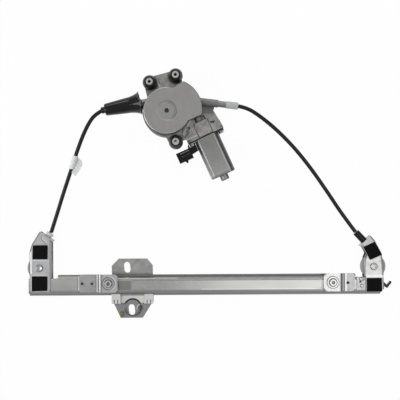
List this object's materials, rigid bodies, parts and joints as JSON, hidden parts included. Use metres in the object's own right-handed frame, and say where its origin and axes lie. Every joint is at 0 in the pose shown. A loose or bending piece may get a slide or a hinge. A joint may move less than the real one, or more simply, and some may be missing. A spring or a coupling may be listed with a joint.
{
  "type": "cable window regulator",
  "caption": "Cable window regulator for a car door: flat guide rail with sliding glass carriage, end pulleys, sheathed drive wire, and a worm-gear motor with its drum.",
  "frame": {"origin": "axis of the left rail nut, on the front face of its mounting plate", "axes": "+X along the guide rail toward the right pulley, +Y in the plane of the rail toward the motor, +Z out of the flat back, the way the mounting bolts leave"},
  "size_m": [0.5501, 0.3732, 0.0505],
  "materials": {
    "galvanised_steel": "galvanised, satin",
    "bright_zinc": "bright zinc plate",
    "plated_steel": "zinc plated",
    "cast_aluminium": "as cast, fine grain",
    "pressed_aluminium": "satin",
    "motor_paint": "satin paint",
    "black_moulding": "semi-matt",
    "white_moulding": "semi-matt",
    "pale_moulding": "natural, slightly translucent",
    "black_rubber": "satin",
    "black_foam": "closed-cell foam",
    "conduit_sheath": "semi-gloss",
    "steel": "bright",
    "wire_rope": "stranded, greased",
    "winding_copper": "enamelled copper",
    "ferrite": "dull",
    "gear_resin": "natural acetal",
    "contact_brass": "tinned brass",
    "graphite": "graphite"
  },
  "bodies": {
    "frame": {"guide_rail": "galvanised_steel", "left_mounting_plate": "galvanised_steel", "right_mounting_plate": "galvanised_steel", "left_mount_nut": "plated_steel", "right_mount_nut": "plated_steel", "left_pulley_bracket": "galvanised_steel", "right_pulley_bracket": "bright_zinc", "left_pulley_pin": "plated_steel", "right_pulley_pin": "plated_steel", "bracket_rivets": "plated_steel", "left_foam_pads": "black_foam", "right_foam_pads": "black_foam", "end_clip": "black_moulding", "left_rail_ferrule": "white_moulding", "right_rail_ferrule": "black_moulding", "left_conduit": "conduit_sheath", "right_conduit": "conduit_sheath", "conduit_clip": "white_moulding", "left_motor_ferrule": "black_moulding", "left_boot": "black_rubber", "slack_spring": "steel", "right_adjuster_tube": "plated_steel", "right_motor_ferrule": "pale_moulding", "left_wire": "wire_rope", "right_wire": "wire_rope", "rail_wire": "wire_rope", "gear_housing": "cast_aluminium", "drum_cover": "pressed_aluminium", "gear_back_cover": "pressed_aluminium", "drum_shaft": "steel", "mounting_grommets": "black_rubber", "grommet_sleeves": "steel", "motor_can": "motor_paint", "magnets": "ferrite", "shaft_bushes": "contact_brass", "motor_screws": "plated_steel", "brush_holder": "black_moulding", "brushes": "graphite", "brush_springs": "steel", "terminals": "contact_brass"},
    "carriage": {"carriage_plate": "galvanised_steel", "slider": "pale_moulding", "wire_nipples": "steel"},
    "drum": {"cable_drum": "gear_resin", "drum_windings": "wire_rope", "drum_nipples": "steel", "worm_wheel": "gear_resin", "rubber_damper": "black_rubber", "drive_hub": "steel"},
    "left_pulley": {"left_pulley": "white_moulding"},
    "right_pulley": {"right_pulley": "white_moulding"},
    "armature": {"armature_shaft": "steel", "worm": "steel", "armature_core": "ferrite", "armature_coils": "winding_copper", "commutator": "winding_copper"}
  },
  "joints": [
    {"name": "carriage_slide", "type": "slide", "parent": "frame", "child": "carriage", "axis": [1, 0, 0], "range_m": [-0.078, 0.3]},
    {"name": "armature_spin", "type": "hinge", "parent": "frame", "child": "armature", "pos_m": [0.12476, 0.27198, -0.007], "axis": [0.4099, -0.9121, 0], "range_deg": [-14785.75, 56760.64]},
    {"name": "drum_spin", "type": "hinge", "parent": "frame", "child": "drum", "pos_m": [0.0901, 0.2564, 0], "axis": [0, 0, 1], "range_deg": [-224.03, 860.01]},
    {"name": "left_pulley_spin", "type": "hinge", "parent": "frame", "child": "left_pulley", "pos_m": [-0.1042, 0.0233, -0.012], "axis": [0, 0, 1], "range_deg": [-263.56, 1011.78]},
    {"name": "right_pulley_spin", "type": "hinge", "parent": "frame", "child": "right_pulley", "pos_m": [0.3992, 0.0233, -0.012], "axis": [0, 0, 1], "range_deg": [-263.56, 1011.78]}
  ],
  "couplings": [
    {"joint": "armature_spin", "follows": "carriage_slide", "rad_per_m": 3300},
    {"joint": "drum_spin", "follows": "carriage_slide", "rad_per_m": 50},
    {"joint": "left_pulley_spin", "follows": "carriage_slide", "rad_per_m": 58.824},
    {"joint": "right_pulley_spin", "follows": "carriage_slide", "rad_per_m": 58.824}
  ]
}
